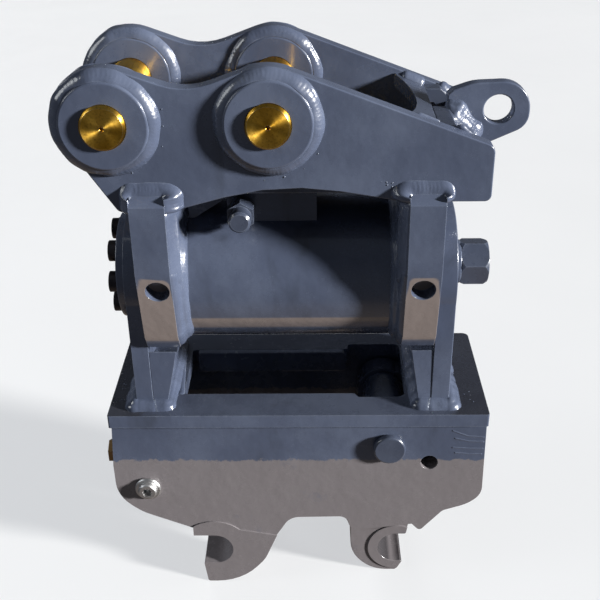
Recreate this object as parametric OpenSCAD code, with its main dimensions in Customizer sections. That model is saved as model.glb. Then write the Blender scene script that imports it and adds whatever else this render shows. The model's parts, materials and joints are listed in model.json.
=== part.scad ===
// Tilting quick coupler for a small excavator.
// Millimetres, +Z up, X along the tilt axis, Y across the coupler (-Y is the front).
// The origin is the middle of the stick pin, the left one of the two ear pins.

/* [Ears] */
// diameter of the two ear pins
pin_d = 40; // [36:1:42]
// distance between the two ear pins
pin_spacing = 143; // [138:1:150]
// height of the ear pins above the tilt axis
pin_height = 177; // [174:1:182]
// gap between the inner faces of the two ear plates
ear_gap = 134; // [130:1:136]
// thickness of an ear plate
ear_t = 16; // [14:1:16]
// outer diameter of an ear boss
boss_d = 80; // [74:1:84]
// how far a boss stands out of its ear plate on the outside
boss_out = 10; // [6:1:14]
// how far a boss stands in from its ear plate on the inside
boss_in = 7; // [4:1:9]

/* [Tilt actuator] */
// outside diameter of the actuator housing tube
tube_d = 148; // [147:0.5:149]
// bore of the housing tube
bore_d = 120; // [116:1:124]
// thickness of a saddle along the tilt axis
saddle_t = 33; // [28:1:34]
// radius of the circle of flange bolts
bolt_circle_r = 40; // [38:1:42]
// number of flange bolts
bolt_count = 8; // [6:1:8]

/* [Lower frame] */
// width of the base plate
base_w = 160; // [158:1:170]
// thickness of the base plate
base_t = 15; // [12:1:16]
// thickness of a side plate
side_t = 12; // [10:1:12]
// diameter of an attachment pin that the hooks hold
hook_pin_d = 40; // [36:1:41]
// diameter of the safety pin hole
safety_d = 18; // [14:1:20]

/* [Output] */
// the part that is drawn, or all of them

/* [Hidden] */

$fn = 96;
fit = 0.05;               // radial running clearance
pin_r = pin_d / 2;
stick_x = -181;           // stick pin, measured from the middle of the tilt axis
link_x = stick_x + pin_spacing;
ear_in = ear_gap / 2;
ear_out = ear_in + ear_t;
hump_r = 49;              // radius of an ear hump round its pin
slope = 21;               // fall of the ears' top edge to the right, in degrees
hump_edge = pin_height + hump_r;
nose_x = 161.5;           // right end of the ears
ear_foot_z = 93;          // bottom edge of the ears at the left saddle
ear_heel_z = 101;         // bottom edge of the ears at the right saddle
eye_half = 6.5;           // half the thickness of the lifting eye
tube_r = tube_d / 2;
bore_r = bore_d / 2;
tube_x0 = -163;
tube_x1 = 117;
saddle_x = [-166, 87];    // left faces of the two saddles
flange_r = 52;            // shaft flange inside the housing
shaft_r = 26;
upright_x = [-184.5, 121];
upright_t = [17.5, 19];
upright_r = 66;
upright_half = 63;        // half the depth of an upright's leg
base_top = -136;
base_low = base_top - base_t;
base_x0 = -213.5;
base_x1 = 180.2;
side_out = 74;            // outer face of a side plate
side_in = side_out - side_t;
jaw = [-112, -322];       // centre of the fixed jaw
jaw_r = hook_pin_d / 2 + 0.1;
grip = [92, -335];        // centre of the moving jaw
pivot = [79, -181];       // pivot of the moving hook
arm_out = 58;             // outer face of a moving hook arm
arm_in = 34;
lug_crank = 54;           // from the hook's pivot to the lug pin
lug_lead = 12.5;          // lug pin's angle ahead of straight down, in degrees
lug = [pivot[0] + lug_crank * sin(lug_lead), pivot[1] - lug_crank * cos(lug_lead)];
cyl_z = -234.4;
cyl_base_x = -180;
barrel_r = 28;
cyl_bore_r = 20;
rod_r = 12.5;
safety = [122, -202];

// ---- outlines ----

function flat(p) = [p[0], p[1]];
function unit(v) = v / norm(v);
// one corner b of an outline between its neighbours a and d; b[2] is its radius
function corner(a, b, d) =
    b[2] == 0 ? [flat(b)] :
    let (
        u = unit(flat(a) - flat(b)),
        v = unit(flat(d) - flat(b)),
        half = acos(u * v) / 2,
        reach = b[2] / tan(half),
        c = flat(b) + unit(u + v) * b[2] / sin(half),
        p = flat(b) + u * reach - c,
        q = flat(b) + v * reach - c,
        from = atan2(p[1], p[0]),
        turn = (atan2(q[1], q[0]) - from + 540) % 360 - 180,
        steps = max(2, ceil(abs(turn) / 9))
    )
    [for (k = [0 : steps]) c + b[2] * [cos(from + turn * k / steps), sin(from + turn * k / steps)]];
// outline from a list of corners [x, y, radius]
function rounded(c) =
    let (n = len(c))
    [for (i = [0 : n - 1]) each corner(c[(i + n - 1) % n], c[i], c[(i + 1) % n])];

// ---- placing ----

// from the tilt axis to the stick pin
module datum() {
    translate([-stick_x, 0, -pin_height]) children();
}
// an X-Z outline as a plate from y0 to y1
module plate_y(y0, y1) {
    translate([0, y1, 0]) rotate([90, 0, 0]) linear_extrude(y1 - y0) children();
}
// a Y-Z outline as a plate from x0 to x1
module plate_x(x0, x1) {
    translate([x0, 0, 0]) rotate([90, 0, 90]) linear_extrude(x1 - x0) children();
}
module bar_y(p, r, y0, y1) {
    translate([p[0], y0, p[1]]) rotate([-90, 0, 0]) cylinder(r = r, h = y1 - y0);
}
module bar_x(r, x0, x1) {
    translate([x0, 0, 0]) rotate([0, 90, 0]) cylinder(r = r, h = x1 - x0);
}
// round bar along Y with both ends chamfered
module pin_y(p, r, y0, y1, c) {
    translate([p[0], y0, p[1]]) rotate([-90, 0, 0]) rotate_extrude()
        polygon([[0, 0], [r - c, 0], [r, c], [r, y1 - y0 - c], [r - c, y1 - y0], [0, y1 - y0]]);
}
// round collar along Y with its hole, chamfered outside at both ends
module collar_y(p, r, hole, y0, y1, c) {
    translate([p[0], y0, p[1]]) rotate([-90, 0, 0]) rotate_extrude()
        polygon([[hole, 0], [r - c, 0], [r, c], [r, y1 - y0 - c], [r - c, y1 - y0], [hole, y1 - y0]]);
}
// ring round the tilt axis
module ring_x(r, hole, x0, x1) {
    translate([x0, 0, 0]) rotate([0, 90, 0]) rotate_extrude()
        polygon([[hole, 0], [r, 0], [r, x1 - x0], [hole, x1 - x0]]);
}
module rear() {
    mirror([0, 1, 0]) children();
}
module paint() {
    color([0.27, 0.31, 0.38]) children();
}
module steel() {
    color([0.70, 0.70, 0.70]) children();
}

// ---- ears ----

// height of the ears' sloping top edge at x
function ear_edge(x) = pin_height + hump_r / cos(slope) - (x - link_x) * tan(slope);

ear_corners = [
    [stick_x - hump_r, pin_height + hump_r * tan(55), hump_r],
    [stick_x - hump_r, pin_height - hump_r * tan(30.5), hump_r],
    [stick_x - 21.5, 132.8, 6],
    [stick_x + 4, ear_foot_z, 7],
    [saddle_x[0] + saddle_t + 3, ear_foot_z, 0],
    [-28, 121, 240],
    [saddle_x[1] - 3, ear_heel_z, 0],
    [nose_x, ear_heel_z, 6],
    [nose_x, ear_edge(nose_x), 9],
    [link_x, pin_height + hump_r / cos(20.5), hump_r],
    [(stick_x + link_x) / 2, hump_edge - 22.8, 65]
];

module ear() {
    paint() difference() {
        plate_y(-ear_out, -ear_in) polygon(rounded(ear_corners));
        for (x = [stick_x, link_x])
            bar_y([x, pin_height], boss_d / 2, -ear_out - 1, -ear_in + 1);
    }
}
module boss(x) {
    paint() collar_y([x, pin_height], boss_d / 2, pin_r + fit, -ear_out - boss_out,
        -ear_in + boss_in, 1.5);
}
module ear_front() {
    datum() ear();
}
module ear_rear() {
    datum() rear() ear();
}
module boss_stick_front() {
    datum() boss(stick_x);
}
module boss_stick_rear() {
    datum() rear() boss(stick_x);
}
module boss_link_front() {
    datum() boss(link_x);
}
module boss_link_rear() {
    datum() rear() boss(link_x);
}

top_drop = 5;             // from the ears' top edge down to the plates between them
cross_x1 = 113;           // right edge of the cross plate
// sloping plate that ties the ears, scooped for the stick's end
module cross_plate() {
    scoop_r = 150;
    scoop_x = 98;
    x0 = 76;
    thick = 14;
    datum() paint() difference() {
        plate_y(-ear_in, ear_in) polygon([
            [x0, ear_edge(x0) - top_drop], [cross_x1, ear_edge(cross_x1) - top_drop],
            [cross_x1, ear_edge(cross_x1) - top_drop - thick], [x0, ear_edge(x0) - top_drop - thick]]);
        translate([scoop_x - scoop_r, 0, 100]) cylinder(r = scoop_r, h = 150);
    }
}
// steep plate that goes on down from the cross plate, with a window beside the lifting eye
module slope_plate() {
    top = [cross_x1, ear_edge(cross_x1) - top_drop];
    bend_x = eye_x0 + 1;
    run = 36;
    thick = 14;
    window_w = 56;
    datum() paint() difference() {
        plate_y(-ear_in, ear_in) polygon([top, [bend_x, top[1]], [bend_x + run, top[1] - run],
            [bend_x + run - thick, top[1] - run - thick], [bend_x - thick / 2, top[1] - thick],
            [top[0], top[1] - thick]]);
        plate_y(-eye_half, eye_half) polygon([[eye_x0, 190], [175, 190], [175, 80], [eye_x0, 80]]);
        translate([cross_x1 - 1, -eye_half, 100]) cube([eye_x0 + 13 - cross_x1, window_w, 100]);
    }
}
eye_x0 = 127;             // left end of the lifting eye's foot
eye_hole = [176, 162.5];
eye_hole_r = 14;
eye_corners = [[eye_x0, 140, 0], [eye_x0, 177, 2], [eye_x0 + 5, 181.5, 4], [151, 188, 40], [206, 190, 27],
    [205.5, 146, 18], [163, 127, 4], [158, 106, 0], [152, 106, 0]];
module lifting_eye() {
    datum() paint() difference() {
        plate_y(-eye_half, eye_half) polygon(rounded(eye_corners));
        bar_y(eye_hole, eye_hole_r, -eye_half - 1, eye_half + 1);
    }
}
// flat plate between the ears, over the actuator
module belly_plate() {
    datum() paint() translate([-128, -ear_in, 104]) cube([208, 2 * ear_in, 9]);
}
block_x0 = -58;
block_x1 = 4;
block_half = 38;
port_x = -68;
port_z = 78.5;
// hydraulic port block between the belly plate and the housing tube
module port_block() {
    datum() paint() difference() {
        translate([block_x0 - 24, -block_half, 52]) cube([block_x1 - block_x0 + 24, 2 * block_half, 52]);
        bar_x(tube_r, block_x0 - 30, block_x1 + 1);
        translate([block_x0 - 25, -block_half - 1, 96]) cube([25, 2 * block_half + 2, 20]);
        bar_y([port_x, port_z], 9, -block_half - 1, -block_half + 12);
    }
}
// hexagon fitting in the port block, with a round cap
module port_fitting() {
    hex_y1 = -block_half - 13;
    hex_y0 = hex_y1 - 11;
    datum() paint() {
        bar_y([port_x, port_z], 9, hex_y0 + 1, -block_half + 11.7);
        bar_y([port_x, port_z], 12, hex_y1 - 1, -block_half);
        translate([port_x, hex_y1, port_z]) rotate([90, 0, 0]) rotate([0, 0, 30])
            cylinder(r = 14.2, h = hex_y1 - hex_y0, $fn = 6);
        pin_y([port_x, port_z], 10.5, hex_y0 - 15, hex_y0 + 3, 2);
    }
}
// sloping rib between the belly plate and the housing tube, beside the port block
module gusset_wedge() {
    datum() paint() difference() {
        plate_y(-34, -24) polygon([[-120, 104], [-120, 60], [-114, 66], [-86, 84.4], [-86, 104]]);
        bar_x(tube_r, -130, -80);
    }
}

// ---- saddles and housing ----

saddle_half = [[0, 104], [-ear_in, 104], [-ear_in, 93], [-ear_out, 93], [-ear_out, 115],
    [-97, 103], [-97, 34], [-80, -42], [-68, -60], [0, -60]];
module saddle(x, foot_z, hole_x) {
    side = [for (p = saddle_half) p[1] == 93 ? [p[0], foot_z] : p];
    lean = atan2(17, 76);
    hole_r = 11.5;
    paint() difference() {
        union() {
            plate_x(x, x + saddle_t) polygon(side);
            rear() plate_x(x, x + saddle_t) polygon(side);
        }
        bar_x(tube_r, x - 1, x + saddle_t + 1);
        for (s = [0, 1]) mirror([0, s, 0])
            translate([hole_x, -91.7, 16]) rotate([90 + lean, 0, 0])
                translate([0, 0, -12]) cylinder(r = hole_r, h = 20);
    }
}
module saddle_left() {
    datum() saddle(saddle_x[0], ear_foot_z, saddle_x[0] + saddle_t / 2 + 2.5);
}
module saddle_right() {
    datum() saddle(saddle_x[1], ear_heel_z, saddle_x[1] + saddle_t / 2);
}
module housing_tube() {
    datum() paint() ring_x(tube_r, bore_r, tube_x0, tube_x1);
}
module bearing_left() {
    datum() color([0.72, 0.55, 0.25]) ring_x(bore_r, flange_r + fit, -158, -140);
}
module bearing_right() {
    datum() color([0.72, 0.55, 0.25]) ring_x(bore_r, flange_r + fit, 94, 112);
}
module seal_left() {
    datum() color([0.1, 0.1, 0.1]) ring_x(bore_r, flange_r + fit, -162.5, -158);
}
module seal_right() {
    datum() color([0.1, 0.1, 0.1]) ring_x(bore_r, flange_r + fit, 112, 116.5);
}

// ---- ear pins ----

pin_end = ear_out + boss_out + 5;
// pin with a shallow grease groove just inside each boss
module ear_pin(x) {
    mid = 57;
    groove_w = 1.5;
    groove_d = 0.8;
    color([0.80, 0.62, 0.22]) difference() {
        pin_y([x, pin_height], pin_r, -pin_end, pin_end, 1.5);
        for (y = [-mid - groove_w, mid])
            collar_y([x, pin_height], pin_r + 1, pin_r - groove_d, y, y + groove_w, 0);
        translate([x, -pin_end - 0.1, pin_height]) rotate([-90, 0, 0])
            cylinder(r1 = 2.4, r2 = 0.4, h = 4, $fn = 24);
    }
}
module stick_pin() {
    datum() ear_pin(stick_x);
}
module link_pin() {
    datum() ear_pin(link_x);
}

// ---- inside the actuator ----

sleeve_x0 = -62;
sleeve_x1 = 18;
groove_r = bore_r - 5;
module piston_sleeve() {
    datum() steel() translate([sleeve_x0, 0, 0]) rotate([0, 90, 0]) rotate_extrude()
        polygon([[shaft_r + fit, 0], [bore_r - fit, 0], [bore_r - fit, 34], [groove_r, 34],
            [groove_r, 42], [bore_r - fit, 42], [bore_r - fit, sleeve_x1 - sleeve_x0],
            [shaft_r + fit, sleeve_x1 - sleeve_x0]]);
}
module piston_seal() {
    datum() color([0.1, 0.1, 0.1]) ring_x(bore_r - fit, groove_r, sleeve_x0 + 34, sleeve_x0 + 42);
}

bolt_r = 6;
tie_r = 15;
// one thing at each flange bolt
module round_flange() {
    for (k = [0 : bolt_count - 1])
        rotate([k * 360 / bolt_count, 0, 0]) translate([0, 0, bolt_circle_r]) children();
}
flange_face = upright_x[0] + upright_t[0];
hub_face = upright_x[1];
module tilt_shaft() {
    datum() steel() difference() {
        translate([flange_face, 0, 0]) rotate([0, 90, 0]) rotate_extrude()
            polygon([[0, 0], [flange_r, 0], [flange_r, 32], [shaft_r, 38],
                [shaft_r, hub_face - 31 - flange_face], [0, hub_face - 31 - flange_face]]);
        round_flange() translate([flange_face - 1, 0, 0]) rotate([0, 90, 0])
            cylinder(r = bolt_r, h = 21, $fn = 32);
        bar_x(tie_r, hub_face - 71, hub_face);
    }
}
module end_hub() {
    datum() steel() ring_x(flange_r, tie_r + 0.5, hub_face - 31, hub_face);
}
flange_out = upright_x[0] - 9.5;
// ring plate under the flange bolts' heads
module end_flange() {
    datum() paint() difference() {
        ring_x(54, 22, flange_out, upright_x[0]);
        round_flange() translate([flange_out - 1, 0, 0]) rotate([0, 90, 0])
            cylinder(r = bolt_r + 0.5, h = upright_x[0] - flange_out + 2, $fn = 32);
    }
}
module flange_bolts() {
    head_r = 10.5;
    head_h = 8.5;
    datum() color([0.09, 0.09, 0.10]) round_flange() difference() {
        union() {
            translate([flange_out - head_h, 0, 0]) rotate([0, 90, 0])
                cylinder(r = head_r, h = head_h, $fn = 48);
            translate([flange_out - 1, 0, 0]) rotate([0, 90, 0])
                cylinder(r = bolt_r, h = flange_face + 19 - flange_out, $fn = 32);
        }
        translate([flange_out - head_h - 1, 0, 0]) rotate([0, 90, 0]) cylinder(r = 5.8, h = 6, $fn = 6);
    }
}
upright_face = upright_x[1] + upright_t[1];
washer_t = 10;
head_x = upright_face + washer_t;
module tie_washer() {
    datum() paint() ring_x(22.5, tie_r + 0.5, upright_face, head_x);
}
// big bolt that clamps the right upright to the shaft
module tie_bolt() {
    head_h = 28;
    datum() paint() {
        bar_x(tie_r, hub_face - 69, head_x + 1);
        translate([head_x, 0, 0]) rotate([0, 90, 0]) intersection() {
            rotate([0, 0, 18]) cylinder(r = 24.5, h = head_h, $fn = 6);
            rotate_extrude() polygon([[0, 0], [21.5, 0], [26, 6], [26, 21], [21.5, head_h], [0, head_h]]);
        }
    }
}

// ---- lower frame ----

module upright(k) {
    x0 = upright_x[k];
    x1 = x0 + upright_t[k];
    union() {
        bar_x(upright_r, x0, x1);
        plate_x(x0, x1) polygon([[-upright_half, base_top], [upright_half, base_top],
            [upright_half + 1, 0], [-upright_half - 1, 0]]);
    }
}
module upright_left() {
    datum() paint() difference() {
        upright(0);
        round_flange() translate([upright_x[0] - 1, 0, 0]) rotate([0, 90, 0])
            cylinder(r = bolt_r + 0.5, h = 30, $fn = 32);
    }
}
module upright_right() {
    datum() paint() difference() {
        upright(1);
        bar_x(tie_r + 0.5, upright_x[1] - 1, upright_face + 1);
    }
}
cheek_half = 62.5;
sweep_r = 93;             // the saddles turn inside this radius
module cheek_left() {
    datum() paint() difference() {
        plate_y(-cheek_half, cheek_half) polygon([[flange_face, base_top], [flange_face + 14, base_top],
            [flange_face + 29, -66], [flange_face, -66]]);
        bar_x(sweep_r, flange_face - 1, flange_face + 40);
    }
}
module cheek_right() {
    datum() paint() difference() {
        plate_y(-cheek_half, cheek_half) polygon([[hub_face - 12, base_top], [hub_face, base_top],
            [hub_face, -66], [hub_face - 23, -66]]);
        bar_x(sweep_r, hub_face - 30, hub_face + 1);
    }
}
bar_x1 = 39;              // right end of the stiffener bar
bar_back = 50;            // its rear face, against the base plate's window
window = [[-138, -40, 5], [43, -40, 2], [47, -47, 2], [98, -47, 12], [98, 60, 8], [bar_x1, 60, 4],
    [bar_x1, bar_back, 2], [-138, bar_back, 5]];
module base_plate() {
    half = base_w / 2;
    back = half + 4;
    datum() paint() translate([0, 0, base_low]) linear_extrude(base_t) difference() {
        polygon(rounded([[base_x0, -half, 2], [base_x1, -half, 2], [base_x1, back, 7],
            [base_x0, back, 7]]));
        polygon(rounded(window));
    }
}

// flat bar on edge along the rear of the base plate's window
module stiffener_bar() {
    thick = 8;
    deep = 25;
    x0 = -131;
    datum() paint() plate_y(bar_back - thick, bar_back) polygon(rounded([
        [x0, base_top - deep, 1], [bar_x1 - 2, base_top - deep, 6], [bar_x1 - 2, base_top, 6],
        [x0, base_top, 1]]));
}

// outline that a side plate and its fixed hook share
side_left = [[-211.5, base_low, 0], [-215, -205, 30], [-214.5, -246, 40], [-190, -268, 60],
    [-135, -292, 0]];
side_right = [[-42, -302, 0], [-27, -277, 18], [34, -276, 10], [40, -294, 6], [60, -294, 0],
    [107, -287, 0], [116, -297, 4], [140, -268, 10], [166, -259, 40], [181, -246, 22],
    [179.5, base_low, 0]];
crest_r = 40;             // the hook's raised top edge round its jaw
function crest(a) = [jaw[0] + crest_r * cos(a), jaw[1] + crest_r * sin(a)];
crest_line = [for (a = [125 : -8 : 45]) crest(a)];
hook_low = -370;          // lowest level of all the hooks
hook_skirt = [[-42, -302, 0], [-56, -337, 40], [-84, hook_low, 60], [-122, hook_low, 3],
    [-125.5, -342.5, 2]];

module side_plate() {
    paint() difference() {
        plate_y(-side_out, -side_in) polygon(concat(rounded(side_left), crest_line, rounded(side_right)));
        bar_y(pivot, 12, -side_out - 1, -side_in + 1);
        bar_y([cyl_base_x, cyl_z], 12.5, -side_out - 1, -side_in + 1);
        bar_y(safety, safety_d / 2, -side_out - 1, -side_in + 1);
    }
}
module side_front() {
    datum() side_plate();
}
module side_rear() {
    datum() rear() side_plate();
}
// hook block let into the side plate's lower edge, with its jaw open to the left
module fixed_hook() {
    hook_in = 30;
    proud = 1.5;
    paint() difference() {
        plate_y(-side_out - proud, -hook_in) polygon(concat([[-135, -302]], [[-135, -292]], crest_line,
            [[-42, -302]], rounded(hook_skirt)));
        bar_y(jaw, jaw_r, -side_out - 3, -hook_in + 1);
        translate([-140, -side_out - 3, jaw[1] - jaw_r])
            cube([140 + jaw[0], side_out - hook_in + 5, 2 * jaw_r]);
    }
}
module fixed_hook_front() {
    datum() fixed_hook();
}
module fixed_hook_rear() {
    datum() rear() fixed_hook();
}
adapter = [-47, -204];    // Y and Z of the hose adapter
module end_plate_left() {
    datum() paint() difference() {
        translate([-211, -side_in, -245]) cube([10, 2 * side_in, base_low + 245]);
        translate([-212, adapter[0], adapter[1]]) rotate([0, 90, 0]) cylinder(r = 8, h = 12, $fn = 48);
    }
}
module end_plate_right() {
    datum() paint() translate([166, -side_in, -240]) cube([11, 2 * side_in, base_low + 240]);
}
// hose adapter in the left end plate
module brass_adapter() {
    datum() color([0.62, 0.45, 0.20]) translate([-223, adapter[0], adapter[1]]) difference() {
        union() {
            rotate([0, 90, 0]) cylinder(r = 8, h = 26, $fn = 48);
            rotate([0, 90, 0]) cylinder(r = 13, h = 8, $fn = 6);
        }
        translate([-1, 0, 0]) rotate([0, 90, 0]) cylinder(r = 4.5, h = 28, $fn = 32);
    }
}
// bolt that the moving hook turns on
module pivot_bolt() {
    head_r = 17;
    head_h = 8;
    datum() paint() {
        bar_y(pivot, 11.95, -side_out - 1, side_out + 20);
        pin_y(pivot, head_r, -side_out - head_h, -side_out + 0.01, 1.5);
    }
}
module pivot_nut() {
    datum() paint() difference() {
        translate([pivot[0], side_out, pivot[1]]) rotate([-90, 0, 0]) cylinder(r = 20, h = 18, $fn = 6);
        bar_y(pivot, 11.95, side_out - 1, side_out + 21);
    }
}

// ---- lock cylinder ----

module base_pin() {
    socket_r = 5.4;
    y0 = -side_out - 9;
    datum() steel() difference() {
        union() {
            pin_y([cyl_base_x, cyl_z], 12.45, -side_out - 3, side_out + 8, 1);
            pin_y([cyl_base_x, cyl_z], 14, -side_out - 4, -side_out, 1.2);
            pin_y([cyl_base_x, cyl_z], 10, y0, -side_out, 1.5);
        }
        translate([cyl_base_x, y0 + 9, cyl_z]) rotate([90, 0, 0]) cylinder(r = socket_r, h = 10, $fn = 6);
    }
}
module base_pin_spacers() {
    datum() paint() for (y = [-side_in + 0.3, 18.3])
        collar_y([cyl_base_x, cyl_z], 17, 12.5, y, y + side_in - 18.6, 1);
}
barrel_x0 = -158;
barrel_x1 = 12;
module cylinder_barrel() {
    eye_r_barrel = 17;
    datum() paint() difference() {
        union() {
            translate([0, 0, cyl_z]) bar_x(barrel_r, barrel_x0, barrel_x1);
            bar_y([cyl_base_x, cyl_z], eye_r_barrel, -18, 18);
            translate([cyl_base_x, -15, cyl_z - 15]) cube([30, 30, 30]);
        }
        bar_y([cyl_base_x, cyl_z], 12.5, -19, 19);
        translate([barrel_x0 + 16, 0, cyl_z]) rotate([0, 90, 0]) cylinder(r = cyl_bore_r, h = 300);
    }
}
module cylinder_gland() {
    datum() steel() translate([barrel_x1, 0, cyl_z]) rotate([0, 90, 0]) rotate_extrude()
        polygon([[rod_r + fit, -14], [cyl_bore_r, -14], [cyl_bore_r, 0], [barrel_r - 2, 0],
            [barrel_r - 2, 12], [rod_r + fit, 12]]);
}
// valve block on top of the barrel
module lock_valve() {
    datum() color([0.45, 0.46, 0.48]) difference() {
        translate([-120, -17, cyl_z + 20]) cube([50, 34, 34]);
        translate([0, 0, cyl_z]) bar_x(barrel_r, barrel_x0, barrel_x1);
    }
}
rod_x0 = -22;
module lock_rod() {
    eye_r_rod = 17;
    eye_half_rod = 14;
    datum() steel() difference() {
        union() {
            translate([rod_x0, 0, cyl_z]) rotate([0, 90, 0]) cylinder(r = rod_r, h = lug[0] - 8 - rod_x0);
            bar_y([lug[0], cyl_z], eye_r_rod, -eye_half_rod, eye_half_rod);
        }
        bar_y([lug[0], cyl_z], 10.8, -eye_half_rod - 1, eye_half_rod + 1);
    }
}
module lock_piston() {
    datum() steel() translate([0, 0, cyl_z]) ring_x(cyl_bore_r - fit, rod_r, rod_x0, rod_x0 + 16);
}

// ---- moving hook ----

jaw_top = -300;           // where the two arms end and the hook's jaw begins
arm_corners = [[51, -181, 0], [46, -240, 60], [40, jaw_top, 0], [105.5, jaw_top, 0], [107, -240, 60],
    [106, -200, 0], [107, -181, 0]];
jaw_corners = [[40, jaw_top, 0], [41, -345, 42], [66, hook_low, 40], [93, hook_low, 3], [101, -354, 2],
    [grip[0], grip[1] - jaw_r + 0.2, 0], [grip[0], grip[1] + jaw_r, 0], [103, grip[1] + jaw_r, 2],
    [105.5, jaw_top, 0]];
hub_r = 28;
lock_lobe_r = 15;         // lobe that takes the safety pin while the hook is closed
module hook_arm() {
    paint() difference() {
        union() {
            plate_y(-arm_out, -arm_in) polygon(rounded(arm_corners));
            bar_y(pivot, hub_r, -arm_out, -arm_in);
            bar_y([116, -168], 11, -arm_out, -arm_in);
            plate_y(-arm_out, -arm_in) polygon([[86, -168], [84, -157], [116, -157], [113, -179]]);
            bar_y(safety, lock_lobe_r, -arm_out, -arm_in);
            plate_y(-arm_out, -arm_in) polygon([[98, -184], [safety[0], safety[1] + lock_lobe_r],
                [safety[0], safety[1] - lock_lobe_r], [98, -226]]);
        }
        bar_y(pivot, 12, -arm_out - 1, -arm_in + 1);
        bar_y(safety, safety_d / 2, -arm_out - 1, -arm_in + 1);
    }
}
module hook_arm_front() {
    datum() hook_arm();
}
module hook_arm_rear() {
    datum() rear() hook_arm();
}
module hook_hub() {
    datum() paint() collar_y(pivot, 24, 12, -arm_in, arm_in, 0.5);
}
// jaw across both arms, with a raised rim round its seat
module hook_jaw() {
    rim_r = 32;
    rim = 1.4;
    datum() paint() difference() {
        union() {
            plate_y(-arm_out, arm_out) polygon(rounded(jaw_corners));
            intersection() {
                bar_y(grip, rim_r, -arm_out - rim, arm_out + rim);
                plate_y(-arm_out - rim, arm_out + rim) polygon(rounded(jaw_corners));
            }
        }
        bar_y(grip, jaw_r, -arm_out - 2, arm_out + 2);
    }
}
module hook_lugs() {
    datum() paint() for (y = [-26, 16]) difference() {
        union() {
            bar_y(lug, 16, y, y + 10);
            plate_y(y, y + 10)
                polygon([[60, -204], [98, -196], [lug[0] + 15.5, lug[1]], [lug[0] - 15.5, lug[1]]]);
        }
        bar_y(pivot, 24, y - 1, y + 11);
        bar_y(lug, 10, y - 1, y + 11);
    }
}
module lug_pin() {
    datum() steel() pin_y(lug, 10, -29, 29, 1);
}

// ---- drawing ----

ear_front();
ear_rear();
boss_stick_front();
boss_stick_rear();
boss_link_front();
boss_link_rear();
cross_plate();
slope_plate();
lifting_eye();
belly_plate();
port_block();
port_fitting();
gusset_wedge();
saddle_left();
saddle_right();
housing_tube();
bearing_left();
bearing_right();
seal_left();
seal_right();
stick_pin();
link_pin();
piston_sleeve();
piston_seal();
tilt_shaft();
end_hub();
end_flange();
flange_bolts();
tie_bolt();
tie_washer();
upright_left();
upright_right();
cheek_left();
cheek_right();
base_plate();
stiffener_bar();
side_front();
side_rear();
fixed_hook_front();
fixed_hook_rear();
end_plate_left();
end_plate_right();
brass_adapter();
pivot_bolt();
pivot_nut();
base_pin();
base_pin_spacers();
cylinder_barrel();
cylinder_gland();
lock_valve();
lock_rod();
lock_piston();
hook_arm_front();
hook_arm_rear();
hook_hub();
hook_jaw();
hook_lugs();
lug_pin();
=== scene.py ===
import json
import random
from math import ceil, cos, pi, radians, sin, sqrt
import bmesh
import bpy
from mathutils import Matrix, Vector, noise


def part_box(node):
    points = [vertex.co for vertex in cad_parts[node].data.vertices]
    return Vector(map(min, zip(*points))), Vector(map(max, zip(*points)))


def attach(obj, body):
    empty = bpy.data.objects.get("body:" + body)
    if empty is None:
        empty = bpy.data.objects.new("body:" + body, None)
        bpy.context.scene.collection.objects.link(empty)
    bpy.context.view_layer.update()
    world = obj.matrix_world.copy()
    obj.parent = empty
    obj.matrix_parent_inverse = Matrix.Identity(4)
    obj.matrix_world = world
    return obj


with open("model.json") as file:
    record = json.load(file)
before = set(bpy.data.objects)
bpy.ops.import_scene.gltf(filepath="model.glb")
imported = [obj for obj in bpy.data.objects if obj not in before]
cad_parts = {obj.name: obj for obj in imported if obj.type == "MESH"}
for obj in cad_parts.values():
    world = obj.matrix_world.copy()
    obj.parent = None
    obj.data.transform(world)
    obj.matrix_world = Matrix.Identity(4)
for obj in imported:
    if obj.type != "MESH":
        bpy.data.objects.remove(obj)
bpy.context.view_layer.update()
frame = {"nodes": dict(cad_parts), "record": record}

NODES = frame["nodes"]
MM = 0.001
FRONT, REAR = -1, 1
SIDES = ((FRONT, "front"), (REAR, "rear"))
X, Y, Z = Vector((1, 0, 0)), Vector((0, 1, 0)), Vector((0, 0, 1))


# ---- places, all taken from the CAD nodes ----

def middle(node):
    low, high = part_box(node)
    return (low + high) / 2


EAR_LOW, EAR_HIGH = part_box("ear_front")
EAR_OUT = -EAR_LOW.y
EAR_IN = -EAR_HIGH.y
AXIS = middle("housing_tube")
TUBE_R = (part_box("housing_tube")[1].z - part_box("housing_tube")[0].z) / 2
BASE_LOW, BASE_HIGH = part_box("base_plate")
SIDE_LOW, SIDE_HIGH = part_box("side_front")
FLOOR = min(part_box("fixed_hook_front")[0].z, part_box("hook_jaw")[0].z)


# ---- material graph helpers ----

EDGE_NONE, EDGE_FULL = 0.995, 0.86  # cosine between true and rounded normal: no edge mark, full edge mark (wear, and on the slate paint also a painted highlight)


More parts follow.
